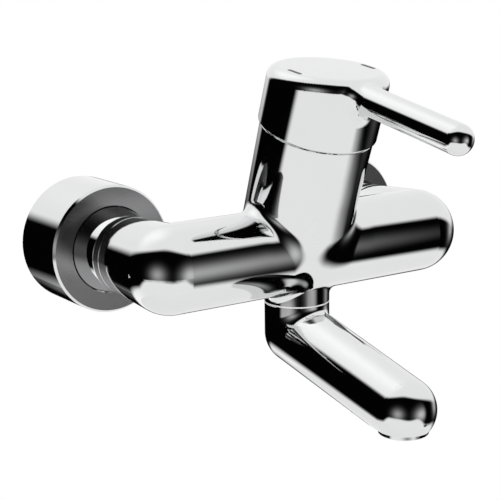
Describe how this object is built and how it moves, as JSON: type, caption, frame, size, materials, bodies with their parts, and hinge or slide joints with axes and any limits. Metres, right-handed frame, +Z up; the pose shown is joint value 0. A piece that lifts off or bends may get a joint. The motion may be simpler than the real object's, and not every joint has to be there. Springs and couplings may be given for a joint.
{
  "type": "wall-mounted basin mixer",
  "caption": "Chrome wall-mounted basin mixer with a round bar body, deep wall covers, a leaning lever cartridge housing and a swivel tube spout.",
  "frame": {"origin": "on the wall's finished face, midway between the two inlets, level with the bar's axis", "axes": "+X along the wall to the right of a person facing it, +Y into the wall, +Z up"},
  "size_m": [0.215, 0.2273, 0.1672],
  "materials": {
    "chrome": "polished chrome plate over brass",
    "raw_brass": "machined brass",
    "stainless_steel": "machined stainless steel",
    "ceramic": "lapped alumina ceramic",
    "white_plastic": "moulded plastic",
    "grey_plastic": "moulded plastic",
    "red_plastic": "moulded plastic",
    "rubber": "smooth rubber",
    "black_paint": "black fill, satin"
  },
  "bodies": {
    "mixer": {"mixer_body": "chrome", "union_nut_left": "chrome", "union_nut_right": "chrome", "escutcheon_left": "chrome", "escutcheon_right": "chrome", "cover_ring": "chrome", "s_union_left": "raw_brass", "s_union_right": "raw_brass", "retaining_nut": "raw_brass", "spout_locating_screw": "stainless_steel", "fixed_disc": "ceramic", "outlet_slip_ring": "white_plastic", "cartridge_base": "white_plastic", "cartridge_housing": "white_plastic", "silencer_left": "white_plastic", "silencer_right": "white_plastic", "hot_limit_ring": "red_plastic", "base_seals": "rubber", "housing_oring": "rubber", "escutcheon_grip_ring_left": "rubber", "escutcheon_grip_ring_right": "rubber", "filter_washer_left": "rubber", "filter_washer_right": "rubber"},
    "rotor": {"guide_rotor": "grey_plastic", "pivot_pin": "stainless_steel"},
    "handle": {"handle": "chrome", "handle_set_screw": "stainless_steel", "screw_plug": "grey_plastic", "index_marks": "black_paint", "lever_spindle": "stainless_steel"},
    "carrier": {"disc_carrier": "white_plastic", "moving_disc": "ceramic"},
    "spout": {"spout": "chrome", "spout_spigot": "raw_brass", "spigot_orings": "rubber", "aerator_housing": "chrome", "aerator_insert": "white_plastic", "aerator_seal": "rubber"}
  },
  "joints": [
    {"name": "temperature", "type": "hinge", "parent": "mixer", "child": "rotor", "pos_m": [0, -0.0847, 0], "axis": [0, -0.3322, 0.9432], "range_deg": [-50, 50]},
    {"name": "flow", "type": "hinge", "parent": "rotor", "child": "handle", "pos_m": [0, -0.10443, 0.05603], "axis": [-1, 0, 0], "range_deg": [0, 24]},
    {"name": "disc_slide", "type": "slide", "parent": "rotor", "child": "carrier", "axis": [0, -0.9432, -0.3322], "range_m": [0, 0.00505]},
    {"name": "spout_swivel", "type": "hinge", "parent": "mixer", "child": "spout", "pos_m": [0, -0.0894, -0.03], "axis": [0, 0, 1], "range_deg": [-70, 70]}
  ],
  "couplings": [
    {"joint": "disc_slide", "follows": "flow", "m_per_rad": 0.012}
  ]
}
